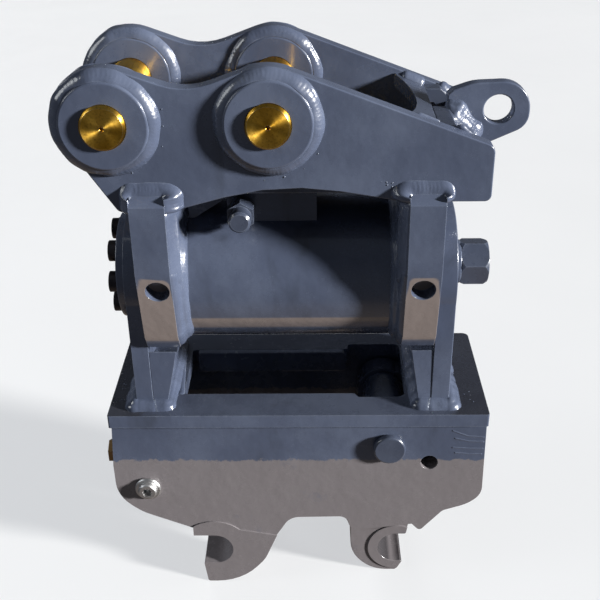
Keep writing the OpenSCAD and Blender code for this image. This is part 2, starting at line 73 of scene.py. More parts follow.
class Graph:
    """A material's node tree with short calls for what the materials here need."""

    def __init__(self, name):
        self.material = bpy.data.materials.new(name)
        self.material.use_nodes = True
        self.tree = self.material.node_tree
        self.tree.nodes.clear()
        self.shader = self.node("ShaderNodeBsdfPrincipled")
        output = self.node("ShaderNodeOutputMaterial")
        self.join(self.shader.outputs["BSDF"], output.inputs["Surface"])
        self.place = self.node("ShaderNodeTexCoord").outputs["Object"]

    def node(self, kind, **settings):
        made = self.tree.nodes.new(kind)
        for key, value in settings.items():
            setattr(made, key, value)
        return made

    def join(self, source, target):
        self.tree.links.new(source, target)

    def put(self, target, value):
        if isinstance(value, bpy.types.NodeSocket):
            self.join(value, target)
        else:
            target.default_value = value

    def stretched(self, scale):
        mapping = self.node("ShaderNodeMapping")
        mapping.inputs["Scale"].default_value = scale
        self.join(self.place, mapping.inputs["Vector"])
        return mapping.outputs["Vector"]

    def noise(self, scale, detail=4.0, rough=0.55, place=None, warp=0.0):
        made = self.node("ShaderNodeTexNoise")
        made.inputs["Scale"].default_value = scale
        made.inputs["Detail"].default_value = detail
        made.inputs["Roughness"].default_value = rough
        made.inputs["Distortion"].default_value = warp
        self.join(place or self.place, made.inputs["Vector"])
        return made.outputs["Fac"]

    def ramp(self, value, low, high, at_low=0.0, at_high=1.0):
        made = self.node("ShaderNodeMapRange", interpolation_type="SMOOTHSTEP")
        for name, number in zip(("From Min", "From Max", "To Min", "To Max"), (low, high, at_low, at_high)):
            made.inputs[name].default_value = number
        self.join(value, made.inputs["Value"])
        return made.outputs["Result"]

    def math(self, operation, a, b=0.0):
        made = self.node("ShaderNodeMath", operation=operation)
        self.put(made.inputs[0], a)
        self.put(made.inputs[1], b)
        return made.outputs["Value"]

    def mix(self, factor, a, b):
        made = self.node("ShaderNodeMix", data_type="RGBA")
        self.put(made.inputs["Factor"], factor)
        self.put(made.inputs["A"], a)
        self.put(made.inputs["B"], b)
        return made.outputs["Result"]

    def bump(self, height, depth, normal=None):
        made = self.node("ShaderNodeBump")
        made.inputs["Strength"].default_value = 1.0
        made.inputs["Distance"].default_value = depth
        self.join(height, made.inputs["Height"])
        if normal:
            self.join(normal, made.inputs["Normal"])
        return made.outputs["Normal"]

    def axis(self, name):
        made = self.node("ShaderNodeSeparateXYZ")
        self.join(self.place, made.inputs["Vector"])
        return made.outputs[name]

    def lean(self, name):
        """One part of the surface normal, in the object's own axes."""
        made = self.node("ShaderNodeSeparateXYZ")
        self.join(self.node("ShaderNodeTexCoord").outputs["Normal"], made.inputs["Vector"])
        return made.outputs[name]

    def edges(self, radius):
        """1 on sharp outer and inner edges, 0 on flat faces."""
        soft = self.node("ShaderNodeBevel", samples=4)
        soft.inputs["Radius"].default_value = radius
        flat = self.node("ShaderNodeNewGeometry")
        dot = self.node("ShaderNodeVectorMath", operation="DOT_PRODUCT")
        self.join(soft.outputs["Normal"], dot.inputs[0])
        self.join(flat.outputs["Normal"], dot.inputs[1])
        return self.ramp(dot.outputs["Value"], EDGE_NONE, EDGE_FULL)

    def finish(self, colour, roughness, normal=None, **fixed):
        self.put(self.shader.inputs["Base Color"], colour)
        self.put(self.shader.inputs["Roughness"], roughness)
        if normal:
            self.join(normal, self.shader.inputs["Normal"])
        for name, value in fixed.items():
            self.shader.inputs[name.replace("_", " ")].default_value = value
        return self.material


# ---- materials ----

SLATE = (0.052, 0.064, 0.100, 1)
SLATE_PALE = (0.072, 0.088, 0.132, 1)
# lighter slate for edges: worn paint and a painted highlight
SLATE_EDGE_WEAR_AND_HIGHLIGHT = (0.125, 0.145, 0.190, 1)
STREAK = (0.030, 0.036, 0.050, 1)
# warm tone of the painted floor reflection on the lower side plates and hooks
WARM_REFLECTION = (0.150, 0.136, 0.140, 1)
# warm tone of the painted reflection from below on faces that lean down
UNDERSIDE_REFLECTION = (0.188, 0.157, 0.147, 1)
# dark tone of the painted shade on the moving jaw's faces towards +X
SHADE_TOWARDS_X = (0.022, 0.021, 0.023, 1)
# dark tone of the painted shade on the two ends of the base plate's top
END_SHADE = (0.016, 0.015, 0.016, 1)
REFLECTION_SHARE = 0.69                        # of the side plates' height is under the painted warm floor reflection
REFLECTION_WANDER, REFLECTION_BLUR = 0.020, 0.001    # how far its top edge wanders, and half that edge's width
END_SHADE_FROM, END_SHADE_FULL = 0.160, 0.172    # distance from the base plate's middle
ZINC, ZINC_PALE = (0.54, 0.29, 0.028, 1), (0.72, 0.44, 0.07, 1)
ZINC_LINE, ZINC_WORN = (0.30, 0.15, 0.02, 1), (0.95, 0.82, 0.50, 1)
OXIDE, OXIDE_PALE, OXIDE_WORN = (0.020, 0.018, 0.022, 1), (0.055, 0.050, 0.054, 1), (0.16, 0.155, 0.15, 1)
STEEL_WORN = (0.86, 0.86, 0.86, 1)
RUBBER, RUBBER_PALE = (0.012, 0.012, 0.012, 1), (0.035, 0.034, 0.033, 1)
FLOOR_TONE, FLOOR_PALE = (0.235, 0.235, 0.233, 1), (0.25, 0.25, 0.248, 1)


def shade(colour, tone):
    return tuple(channel * tone for channel in colour[:3]) + (1,)


def painted_floor_reflection(g, colour, reflection_top):
    """Painted warm floor reflection below reflection_top, with a ragged edge and fainter patches."""
    ragged = g.math("MULTIPLY", g.noise(95.0, detail=8.0, rough=0.75), REFLECTION_WANDER)
    depth = g.math("ADD", g.axis("Z"), ragged)
    edge = reflection_top + REFLECTION_WANDER / 2
    cover = g.ramp(depth, edge + REFLECTION_BLUR, edge - REFLECTION_BLUR)
    spots = g.ramp(g.noise(15.0, detail=6.0, rough=0.62), 0.62, 0.74, 1.0, 0.45)
    return g.mix(g.math("MULTIPLY", cover, g.math("MULTIPLY", spots, 0.92)), colour, WARM_REFLECTION)


def painted_underside_reflection(g, colour, least, most):
    """A painted warm reflection from below on faces whose normal leans down by between least and most."""
    down = g.math("MULTIPLY", g.lean("Z"), -1.0)
    enough = g.ramp(down, least - 0.02, least + 0.02)
    band = g.math("MULTIPLY", enough, g.ramp(down, most + 0.03, most - 0.03))
    return g.mix(g.math("MULTIPLY", band, 0.95), colour, UNDERSIDE_REFLECTION)


def painted_end_shade(g, colour, fine):
    """Painted shade on the two ends of the base plate's upward face."""
    off_centre = g.math("ABSOLUTE", g.math("SUBTRACT", g.axis("X"), (BASE_LOW.x + BASE_HIGH.x) / 2))
    ragged = g.math("ADD", off_centre, g.math("MULTIPLY", fine, 0.012))
    ends = g.ramp(ragged, END_SHADE_FROM, END_SHADE_FULL, 0.34, 0.78)
    cover = g.math("MULTIPLY", g.ramp(g.lean("Z"), 0.8, 0.95), ends)
    return g.mix(cover, colour, END_SHADE)


def slate_paint(name, reflection_top=None, under=None, lumpy=0.0, shaded_right=False, tone=1.0, shaded_ends=False):
    """Gloss paint over plate: mottled, with orange peel and edges lightened by wear and a painted
    highlight.
    tone scales its colour and lumpy adds bumps so many mm deep. Below reflection_top it has a painted warm
    floor reflection, and faces that lean down by the two amounts in under get a painted warm reflection
    from below. With shaded_right, faces towards +X get painted shade; with shaded_ends, so do the two ends
    of upward faces."""
    g = Graph(name)
    broad = g.noise(11.0, detail=5.0, rough=0.6)
    fine = g.noise(85.0, detail=6.0, rough=0.65)
    colour = g.mix(g.ramp(broad, 0.35, 0.68), shade(SLATE, tone), shade(SLATE_PALE, tone))
    streaks = g.noise(26.0, detail=6.0, place=g.stretched((1.0, 1.0, 0.22)), warp=0.6)
    colour = g.mix(g.ramp(streaks, 0.58, 0.75, 0.0, 0.55), colour, STREAK)
    # edges lightened: worn paint and a painted highlight
    rubbed_and_highlit = g.math("MULTIPLY", g.edges(1.6 * MM), g.ramp(fine, 0.36, 0.58, 0.25, 1.0))
    colour = g.mix(rubbed_and_highlit, colour, SLATE_EDGE_WEAR_AND_HIGHLIGHT)
    roughness = g.ramp(g.math("ADD", g.math("MULTIPLY", broad, 0.55), g.math("MULTIPLY", fine, 0.45)),
                       0.36, 0.66, 0.17, 0.36)
    # painted warm floor reflection on the lower part
    if reflection_top is not None:
        colour = painted_floor_reflection(g, colour, reflection_top)
    # painted warm reflection from below on faces that lean down
    if under:
        colour = painted_underside_reflection(g, colour, *under)
    # painted shade on faces towards +X
    if shaded_right:
        colour = g.mix(g.ramp(g.lean("X"), 0.15, 0.45, 0.0, 0.85), colour, SHADE_TOWARDS_X)
    # painted shade on the two ends of upward faces
    if shaded_ends:
        colour = painted_end_shade(g, colour, fine)
    peel = g.bump(g.noise(520.0, detail=2.0), 0.05 * MM)
    waves = g.bump(g.noise(48.0, detail=2.0), 0.55 * MM, peel)
    if lumpy:
        waves = g.bump(g.noise(210.0, detail=3.0), lumpy * MM, waves)
    return g.finish(colour, roughness, waves, IOR=1.52, Coat_Weight=0.45, Coat_Roughness=0.07)


def yellow_zinc():
    """Turned steel with yellow zinc plating: fine rings on the end faces, worn at the rim."""
    g = Graph("yellow_zinc")
    tangent = g.node("ShaderNodeTangent", direction_type="RADIAL", axis="Y")
    g.join(tangent.outputs["Tangent"], g.shader.inputs["Tangent"])
    cloud = g.noise(34.0, detail=5.0)
    colour = g.mix(g.ramp(cloud, 0.36, 0.66), ZINC, ZINC_PALE)
    lines = g.noise(30.0, detail=3.0, place=g.stretched((18.0, 0.6, 18.0)))
    colour = g.mix(g.ramp(lines, 0.45, 0.75, 0.0, 0.6), colour, ZINC_LINE)
    colour = g.mix(g.math("MULTIPLY", g.edges(0.8 * MM), 0.7), colour, ZINC_WORN)
    roughness = g.ramp(g.noise(150.0, detail=4.0), 0.3, 0.7, 0.34, 0.46)
    normal = g.bump(lines, 0.03 * MM)
    return g.finish(colour, roughness, normal, Metallic=1.0, Anisotropic=0.85, Anisotropic_Rotation=0.25)


def turned_steel(name, dark, light, low=0.22, high=0.42):
    """Machined metal with fine lines along X, between two tones and two roughnesses."""
    g = Graph(name)
    lines = g.noise(30.0, detail=4.0, place=g.stretched((0.5, 20.0, 20.0)))
    cloud = g.noise(28.0, detail=5.0)
    colour = g.mix(g.ramp(cloud, 0.35, 0.66), dark, light)
    colour = g.mix(g.math("MULTIPLY", g.edges(0.8 * MM), 0.6), colour, STEEL_WORN)
    roughness = g.ramp(g.math("ADD", g.math("MULTIPLY", lines, 0.6), g.math("MULTIPLY", cloud, 0.4)),
                       0.35, 0.65, low, high)
    return g.finish(colour, roughness, g.bump(lines, 0.04 * MM), Metallic=1.0)


def black_oxide():
    """Blackened bolt steel, a little rough, with paler worn edges."""
    g = Graph("black_oxide")
    cloud = g.noise(60.0, detail=5.0)
    colour = g.mix(g.ramp(cloud, 0.35, 0.7), OXIDE, OXIDE_PALE)
    colour = g.mix(g.math("MULTIPLY", g.edges(1.0 * MM), 0.8), colour, OXIDE_WORN)
    grain = g.math("ADD", g.noise(420.0, detail=1.0), g.math("MULTIPLY", cloud, 0.5))
    return g.finish(colour, g.ramp(cloud, 0.3, 0.7, 0.26, 0.44), g.bump(grain, 0.12 * MM), Metallic=0.85)


def seal_rubber():
    g = Graph("seal_rubber")
    cloud = g.noise(90.0, detail=5.0)
    colour = g.mix(cloud, RUBBER, RUBBER_PALE)
    return g.finish(colour, g.ramp(cloud, 0.3, 0.7, 0.55, 0.8), g.bump(g.noise(700.0), 0.05 * MM))


def floor_finish():
    g = Graph("floor")
    cloud = g.noise(1.3, detail=4.0)
    colour = g.mix(g.ramp(cloud, 0.3, 0.7), FLOOR_TONE, FLOOR_PALE)
    return g.finish(colour, g.ramp(g.noise(4.0), 0.3, 0.7, 0.60, 0.72),
                    Emission_Color=(0.95, 0.97, 1.0, 1), Emission_Strength=0.585)


# top of the painted warm floor reflection
REFLECTION_LINE = SIDE_LOW.z + (SIDE_HIGH.z - SIDE_LOW.z) * REFLECTION_SHARE
PAINT = slate_paint("slate_paint")
# paint with a painted warm floor reflection low down
PAINT_REFLECTING = slate_paint("slate_paint_reflecting", reflection_top=REFLECTION_LINE)
# moving jaw: painted warm floor reflection low down and painted shade on faces towards +X
PAINT_JAW = slate_paint("slate_paint_jaw", reflection_top=REFLECTION_LINE, shaded_right=True)
# base plate: painted shade on the two ends of its top
PAINT_BASE = slate_paint("slate_paint_base", shaded_ends=True)
# a darker copy of the slate paint: painted shade
PAINT_SHADED = slate_paint("slate_paint_shaded", tone=0.62)
# saddles and tube: painted warm reflection from below on faces that lean down
PAINT_SADDLE = slate_paint("slate_paint_saddle", under=(0.15, 0.40))
PAINT_TUBE = slate_paint("slate_paint_tube", under=(0.36, 0.56))
WELD_PAINT = slate_paint("slate_weld", lumpy=0.22)
FINISHES = {
    "yellow_zinc": yellow_zinc(),
    "black_oxide": black_oxide(),
    "steel": turned_steel("machined_steel", (0.40, 0.40, 0.41, 1), (0.62, 0.62, 0.62, 1)),
    "bronze": turned_steel("bearing_bronze", (0.48, 0.30, 0.12, 1), (0.66, 0.46, 0.20, 1)),
    "brass": turned_steel("dull_brass", (0.20, 0.11, 0.05, 1), (0.42, 0.27, 0.12, 1), 0.34, 0.55),
    "seal": seal_rubber(),
    "valve": turned_steel("milled_aluminium", (0.36, 0.37, 0.38, 1), (0.56, 0.57, 0.58, 1), 0.3, 0.5),
    "paint": PAINT,
}
# nodes with the painted warm floor reflection low down
REFLECTING_NODES = ("side_front", "side_rear", "fixed_hook_front", "fixed_hook_rear", "hook_arm_front",
         "hook_arm_rear", "end_plate_left", "end_plate_right")
# nodes given the darker copy of the paint, as painted shade
SHADED_NODES = ("tie_bolt", "port_fitting", "cross_plate", "slope_plate", "pivot_bolt")
PAINTED = {
    **dict.fromkeys(REFLECTING_NODES, PAINT_REFLECTING),
    **dict.fromkeys(SHADED_NODES, PAINT_SHADED),
    **dict.fromkeys(("saddle_left", "saddle_right"), PAINT_SADDLE),
    "base_plate": PAINT_BASE,
    "hook_jaw": PAINT_JAW,
    "housing_tube": PAINT_TUBE,
}

# ---- finish of the CAD nodes ----

# radius of a node's edges in mm, 1 where it isn't named
EDGE_WIDTH = {"flange_bolts": 0.5, "base_pin": 0.4, "brass_adapter": 0.5, "port_fitting": 0.6,
              "lifting_eye": 1.6, "ear_front": 1.3, "ear_rear": 1.3, "saddle_left": 1.8,
              "saddle_right": 1.8, "base_plate": 2.0, "side_front": 1.2, "side_rear": 1.2,
              "fixed_hook_front": 1.6, "fixed_hook_rear": 1.6, "hook_jaw": 1.6, "tie_bolt": 1.0,
              "pivot_bolt": 0.8, "stiffener_bar": 2.0, "port_block": 1.5}
# nodes with holes that merging their flat faces would spoil
HOLED = {"base_plate", "port_fitting"}
# nodes that sit or run in a bore and keep their exact shape
FITTED = {"stick_pin", "link_pin", "piston_sleeve", "piston_seal", "lock_piston", "seal_left",
          "seal_right", "bearing_left", "bearing_right"}
MERGE_WITHIN = 0.002 * MM
FLAT_WITHIN = radians(0.6)
SHARP_FROM = radians(27)


def set_material(ob, material):
    ob.data.materials.clear()
    ob.data.materials.append(material)


def round_edges(ob, width):
    """Rounds a CAD node's sharp edges by a real radius and keeps its flat faces flat."""
    weld = ob.modifiers.new("weld", "WELD")
    weld.merge_threshold = MERGE_WITHIN
    if not width:
        return
    if ob.name not in HOLED:
        flat = ob.modifiers.new("flat", "DECIMATE")
        flat.decimate_type = "DISSOLVE"
        flat.angle_limit = FLAT_WITHIN
    bevel = ob.modifiers.new("bevel", "BEVEL")
    bevel.width = width
    bevel.segments = 3
    bevel.limit_method = "ANGLE"
    bevel.angle_limit = SHARP_FROM
    bevel.miter_outer = "MITER_ARC"
    normal = ob.modifiers.new("normal", "WEIGHTED_NORMAL")
    normal.weight = 80
    normal.keep_sharp = False


def finish_cad():
    slots = {row["node"]: row["material_slot"] for row in frame["record"]["subparts"]}
    for node, ob in NODES.items():
        set_material(ob, PAINTED.get(node) or FINISHES[slots[node]])
        round_edges(ob, 0.0 if node in FITTED else EDGE_WIDTH.get(node, 1.0) * MM)


# ---- weld beads ----

STEP = 1.1 * MM                 # between the frames along a bead
SUNK = 0.6 * MM                 # how far a bead reaches into the two faces it joins
RIPPLE_PITCH = 3.4 * MM
RIPPLE, LUMP = 0.03, 0.09       # heights, as shares of the bead's size
HUMP = 0.07                     # height of each pass over the whole bead's curve
SWELL, SWELL_OVER = 0.16, 14 * MM   # how much the size wanders, and over what length
TIP = 0.25                      # size of a bead's very end
# the saddles' outline across the tube: where each slanted face is level with the axis, and its slope
FLANK_HALF, FLANK_SLOPE = 89.4 * MM, 0.2237
CHAMFER_HALF, CHAMFER_SLOPE = 108 * MM, 0.667
SADDLE_FOOT = 60 * MM
FLANK_TOP = 34 * MM             # above this height the flanks stand upright
FLANK_REACH = 12.5 * MM         # of the weld there, just short of the flank
TOP_FALL = 12 / 14              # slope of the saddles' top faces
HEEL = 8 * MM                   # the ears end this much higher at the right saddle


def line(a, b, u, v):
    """Evenly spaced frames (point, u, v) from a to b; u and v run along the two joined faces."""
    count = max(2, ceil((b - a).length / STEP))
    return [(a.lerp(b, k / count), u.normalized(), v.normalized()) for k in range(count + 1)]


def ring(centre, radius, across, side, start=0.0, stop=360.0):
    """Frames round a circle whose axis is across; u points out from the axis, v along side."""
    first = X if abs(across.dot(X)) < 0.5 else Y
    second = across.cross(first)
    count = ceil(radians(stop - start) * radius / STEP)
    frames = []
    for k in range(count + 1):
        a = radians(start + (stop - start) * k / count)
        out = first * cos(a) + second * sin(a)
        frames.append((centre + out * radius, out, side))
    if stop - start == 360:
        frames.pop()
    return frames


def rounded(points, radius, closed):
    """The outline's points, with a short curve in place of each corner."""
    n = len(points)
    path = []
    for i, p in enumerate(points):
        if not closed and i in (0, n - 1):
            path.append(p)
            continue
        back = (points[i - 1] - p).normalized()
        on = (points[(i + 1) % n] - p).normalized()
        for k in range(5):
            t = k / 4
            path.append(p + back * radius * (1 - t) ** 2 + on * radius * t ** 2)
    return path


def loop(points, up, radius, closed=True):
    """Frames along a flat outline with rounded corners; u lies across it and v along up."""
    path = rounded(points, radius, closed)
    if closed:
        path.append(path[0])
    dense = [path[0]]
    for a, b in zip(path, path[1:]):
        count = max(1, round((b - a).length / STEP))
        dense += [a.lerp(b, k / count) for k in range(1, count + 1)]
    frames = []
    for i, p in enumerate(dense):
        ahead = dense[min(i + 1, len(dense) - 1)] - dense[max(i - 1, 0)]
        frames.append((p, ahead.cross(up).normalized(), up.normalized()))
    if closed:
        frames.pop()
    return frames


def wobble(p, seed, pitch):
    """Smooth noise at a place, so that a bead has no seam where it closes."""
    return noise.noise(p / pitch + Vector((seed * 7.3, 0.31, seed * 1.7)))


def bead_section(t, passes, crown):
    """Height of a bead over its chord at t from 0 to 1, with one hump for each pass."""
    hump = abs(sin(passes * pi * t)) if passes > 1 else 0.0
    return crown * sin(pi * t) + HUMP * hump


def distances(frames):
    """How far along the run each frame is."""
    length = [0.0]
    for a, b in zip(frames, frames[1:]):
        length.append(length[-1] + (b[0] - a[0]).length)
    return length


def taper(s, total, longest):
    """Size at s along an open bead, which is rounded off at its two ends."""
    end = min(1.0, min(s, total - s) / (0.8 * longest))
    return TIP + (1 - TIP) * sqrt(max(0.0, 1 - (1 - end) ** 2))


def skin(mesh, rows, closed):
    """Faces between neighbouring rows of vertices, with caps where the run is open."""
    wide = len(rows[0])
    pairs = zip(rows, rows[1:] + rows[:1] if closed else rows[1:])
    for a, b in pairs:
        for k in range(wide):
            mesh.faces.new((a[k], a[(k + 1) % wide], b[(k + 1) % wide], b[k]))
    if not closed:
        mesh.faces.new(rows[0][::-1])
        mesh.faces.new(rows[-1])


def bead(name, body, frames, leg, seed=0, passes=1, crown=0.16, closed=False, rough=1.0,
         material=None):
    """A weld bead in the corner between two faces, rippled along its run. leg is how far it
    reaches along each face, or a function that gives both reaches at a frame."""
    across = 7 if passes == 1 else 5 * passes
    legs = leg if callable(leg) else (lambda p, u, v: leg if isinstance(leg, tuple) else (leg, leg))
    longest = max(legs(*frames[len(frames) // 2]))
    length = distances(frames)
    total = length[-1] + (STEP if closed else 0.0)
    pitch = total / max(1, round(total / RIPPLE_PITCH))
    mesh = bmesh.new()
    rows = []
    for (p, u, v), s in zip(frames, length):
        a, b = legs(p, u, v)
        swell = 1 + SWELL * rough * wobble(p, seed, SWELL_OVER)
        if not closed:
            swell *= taper(s, total, longest)
        a, b = a * swell, b * swell
        size = sqrt(a * b)
        out = (u * b + v * a).normalized()
        row = [mesh.verts.new(p - u * SUNK - v * SUNK), mesh.verts.new(p + u * a - v * SUNK)]
        for k in range(across + 1):
            t = k / across
            bow = (t * passes % 1 - 0.5) ** 2
            phase = s / pitch + 2.6 * bow + 0.5 * wobble(p, seed + 3, 9 * MM)
            ripple = abs(sin(pi * phase)) - 0.5
            lump = wobble(p + (v - u) * t * 4 * MM, seed + 11, 11 * MM)
            lift = bead_section(t, passes, crown) + rough * (RIPPLE * ripple + LUMP * lump) * sin(pi * t)
            row.append(mesh.verts.new(p + u * a * (1 - t) + v * b * t + out * size * lift))
        row.append(mesh.verts.new(p - u * SUNK + v * b))
        rows.append(row)
    skin(mesh, rows, closed)
    add_piece(name, body, mesh, material or WELD_PAINT)


def add_piece(name, body, mesh, material):
    bmesh.ops.recalc_face_normals(mesh, faces=mesh.faces)
    data = bpy.data.meshes.new(name)
    mesh.to_mesh(data)
    mesh.free()
    for face in data.polygons:
        face.use_smooth = True
    ob = bpy.data.objects.new(name, data)
    bpy.context.scene.collection.objects.link(ob)
    set_material(ob, material)
    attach(ob, body)


def mirrored(frames, side):
    """The same frames on the front, or reflected to the rear."""
    if side == FRONT:
        return frames
    flip = Vector((1, -1, 1))
    return [(p * flip, u * flip, v * flip) for p, u, v in frames]


def boss_welds():
    for side, word in SIDES:
        for seed, which in enumerate(("stick", "link")):
            low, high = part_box(f"boss_{which}_{word}")
            c = (low + high) / 2
            r = (high.x - low.x) / 2
            outer = Vector((c.x, side * EAR_OUT, c.z))
            inner = Vector((c.x, side * EAR_IN, c.z))
            bead(f"weld_boss_{which}_{word}", "ear_frame", ring(outer, r, Y, Y * side),
                 (9 * MM, 8.2 * MM), seed=seed * 5 + side, closed=True)
            bead(f"weld_boss_{which}_{word}_inner", "ear_frame", ring(inner, r, Y, Y * -side),
                 (9 * MM, 6 * MM), seed=seed * 5 + side + 20, closed=True)


def tube_leg(p, u, v):
    """Reaches of the weld round the tube: along it, and out over the saddle's face as far as
    the saddle's own outline lets it."""
    flank = FLANK_HALF / max(0.3, abs(v.y) - FLANK_SLOPE * v.z)
    chamfer = CHAMFER_HALF / max(0.3, abs(v.y) - CHAMFER_SLOPE * v.z)
    foot_face = SADDLE_FOOT / max(0.01, -v.z)
    room = min(flank, chamfer, foot_face) - TUBE_R
    return 13 * MM, min(27 * MM, max(4 * MM, room - 1.2 * MM))


def flank_leg(p, u, v):
    """Reaches of the weld down a saddle's inner edge, narrower where the flank draws in."""
    fall = max(0.0, FLANK_TOP - (p.z - AXIS.z))
    return 9 * MM, FLANK_REACH - FLANK_SLOPE * fall


def saddle_top_frames(low, high, foot):
    """Frames up one side of a saddle, over its top and down the other, on the front ear."""
    slope = Z * TOP_FALL
    points = [Vector((low.x, -EAR_OUT, foot)), Vector((low.x, -EAR_OUT, high.z)),
              Vector((high.x, -EAR_OUT, high.z)), Vector((high.x, -EAR_OUT, foot))]
    core = Vector(((low.x + high.x) / 2, -EAR_OUT, foot))
    frames = []
    for p, u, v in loop(points, Y, 4 * MM, closed=False):
        u = -u if u.dot(p - core) < 0 else u
        frames.append((p, u, (-Y - slope * max(0.0, u.z)).normalized()))
    return frames


def saddle_welds():
    """The welds that hold each saddle: round its top on the ear, down its inner edge, and
    round the tube."""
    for seed, (node, heel) in enumerate((("saddle_left", 0.0), ("saddle_right", HEEL))):
        low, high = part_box(node)
        inward = 1 if node == "saddle_left" else -1
        inner_x = high.x if inward > 0 else low.x
        foot = EAR_LOW.z + heel + 1 * MM

        def top_leg(p, u, v):
            side_leg = 15 if u.x * inward > 0 else 8.6
            up = max(0.0, u.z)
            return (6.5 * up + side_leg * (1 - up)) * MM, (6.5 * up + 12 * (1 - up)) * MM

        frames = saddle_top_frames(low, high, foot)
        for side, word in SIDES:
            bead(f"weld_{node}_{word}", "ear_frame", mirrored(frames, side), top_leg,
                 seed=30 + seed * 3 + side, crown=0.14, rough=1.5)
            edge = Vector((inner_x, side * EAR_OUT, foot + 6 * MM))
            run = line(edge, edge - Z * (foot - AXIS.z - 10 * MM), X * inward, Y * side)
            bead(f"weld_{node}_flank_{word}", "ear_frame", run, flank_leg, seed=40 + seed * 3 + side,
                 crown=0.03, rough=0.25)
        centre = Vector((inner_x, AXIS.y, AXIS.z))
        round_tube = [(p, X * inward, u) for p, u, v in ring(centre, TUBE_R, X, X, -55, 235)]
        bead(f"weld_{node}_tube", "ear_frame", round_tube, tube_leg, seed=50 + seed, passes=2,
             crown=0.02, rough=0.35)


def eye_welds():
    """The welds of the lifting eye, and of the slope and cross plates between the ears."""
    eye_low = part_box("lifting_eye")[0]
    eye_thick = 13 * MM
    plate_low, plate_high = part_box("slope_plate")
    start = Vector((eye_low.x - 2 * MM, eye_low.y, plate_high.z))
    bend = Vector((eye_low.x + 1 * MM, eye_low.y, plate_high.z))
    drop = 31.5 * MM
    end = bend + Vector((drop, 0, -drop))
    up = (X + Z).normalized()
    frames = line(start, bend, -Y, Z + X * 0.4)[:-1] + line(bend, end, -Y, up)
    bead("weld_eye_front", "ear_frame", frames, (14 * MM, 11 * MM), seed=70, passes=2, crown=0.06,
         rough=2.2)
    back = line(bend + Vector((12 * MM, eye_thick, -12 * MM)), end + Y * eye_thick, Y, up)
    bead("weld_eye_rear", "ear_frame", back, 9 * MM, seed=71, passes=2, crown=0.05)
    cross_low, cross_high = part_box("cross_plate")
    top = Vector((cross_low.x + 8 * MM, 0, cross_high.z - 2.5 * MM))
    right = Vector((plate_low.x, 0, plate_high.z))
    normal = Vector((right.z - top.z, 0, top.x - right.x)) * -1
    for side, word in SIDES:
        shift = Y * EAR_IN * side
        cross = line(top + shift, right + shift, -Y * side, normal)
        bead(f"weld_cross_plate_{word}", "ear_frame", cross, 6 * MM, seed=80 + side)
        slope = line(bend + Y * (EAR_IN * side - bend.y), end + Y * (EAR_IN * side - end.y), -Y * side, up)
        bead(f"weld_slope_plate_{word}", "ear_frame", slope, 6 * MM, seed=84 + side)


def belly_welds():
    low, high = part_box("belly_plate")
    for side, word in SIDES:
        a = Vector((low.x + 4 * MM, EAR_IN * side, high.z))
        b = Vector((high.x - 4 * MM, EAR_IN * side, high.z))
        bead(f"weld_belly_{word}", "ear_frame", line(a, b, -Y * side, Z), 6 * MM, seed=90 + side)


def foot_frames(word):
    """Frames on the base plate round an upright's foot and the cheek behind it."""
    low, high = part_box(f"upright_{word}")
    half_upright = 63 * MM
    half_cheek = -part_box(f"cheek_{word}")[0].y
    if word == "left":
        outer, joint, inner, step = low.x, high.x, high.x + 14 * MM, 2 * MM
    else:
        outer, joint, inner, step = high.x, low.x, low.x - 12 * MM, -2 * MM
    half = [(outer, -half_upright), (joint, -half_upright), (joint + step, -half_cheek),
            (inner, -half_cheek)]
    flat = half + [(x, -y) for x, y in reversed(half)]
    core = Vector(((outer + inner) / 2, 0, BASE_HIGH.z))
    frames = loop([Vector((x, y, BASE_HIGH.z)) for x, y in flat], Z, 1.5 * MM)
    return [(p, u if u.dot(p - core) > 0 else -u, v) for p, u, v in frames]


def foot_welds():
    for seed, word in enumerate(("left", "right")):

        def foot_leg(p, u, v):
            outward = max(0.0, -u.x if word == "left" else u.x)
            return (9.5 + 4 * outward) * MM, (9.5 + outward) * MM

        bead(f"weld_foot_{word}", "lower_frame", foot_frames(word), foot_leg, seed=100 + seed,
             crown=0.12, closed=True, passes=2, rough=0.9)


def hook_seam(side, word):
    """The seam between the moving jaw and its arm."""
    arm_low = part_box("hook_arm_front")[0]
    jaw_low, jaw_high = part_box("hook_jaw")
    y = side * -arm_low.y
    a = Vector((jaw_low.x + 5 * MM, y, jaw_high.z))
    b = Vector((jaw_high.x - 5 * MM, y, jaw_high.z))
    bead(f"weld_hook_seam_{word}", "moving_hook", line(a, b, -Z, Y * side), 2.2 * MM, seed=130 + side)


def frame_welds():
    """The seams of the box frame, and of the moving hook in it."""
    for side, word in SIDES:
        a = Vector((SIDE_LOW.x + 5 * MM, side * -SIDE_LOW.y, BASE_LOW.z))
        b = Vector((SIDE_HIGH.x - 3 * MM, side * -SIDE_LOW.y, BASE_LOW.z))
        bead(f"weld_side_{word}", "lower_frame", line(a, b, Y * side, -Z), 4 * MM, seed=120 + side)
        low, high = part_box("end_plate_left")
        y = side * -low.y
        for x, toward, plate in ((low.x, -X, "left"), (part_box("end_plate_right")[1].x, X, "right")):
            a = Vector((x, y, high.z - 4 * MM))
            b = Vector((x, y, low.z + 4 * MM))
            bead(f"weld_end_{plate}_{word}", "lower_frame", line(a, b, toward, -Y * side), 3 * MM,
                 seed=126 + side)
        hook_seam(side, word)


def window_bead():
    """A low bead on top of the base plate along its window's left edge."""
    deep = 2.2 * MM
    start = Vector((BASE_LOW.x + 66 * MM, 28 * MM, BASE_HIGH.z - deep))
    end = Vector((BASE_LOW.x + 72 * MM, -41.6 * MM, BASE_HIGH.z - deep))
    lift = Z * 0.75
    bead("weld_window", "lower_frame", line(start, end, X + lift, -X + lift), 4.6 * MM, seed=140,
         crown=0.2, rough=0.5)


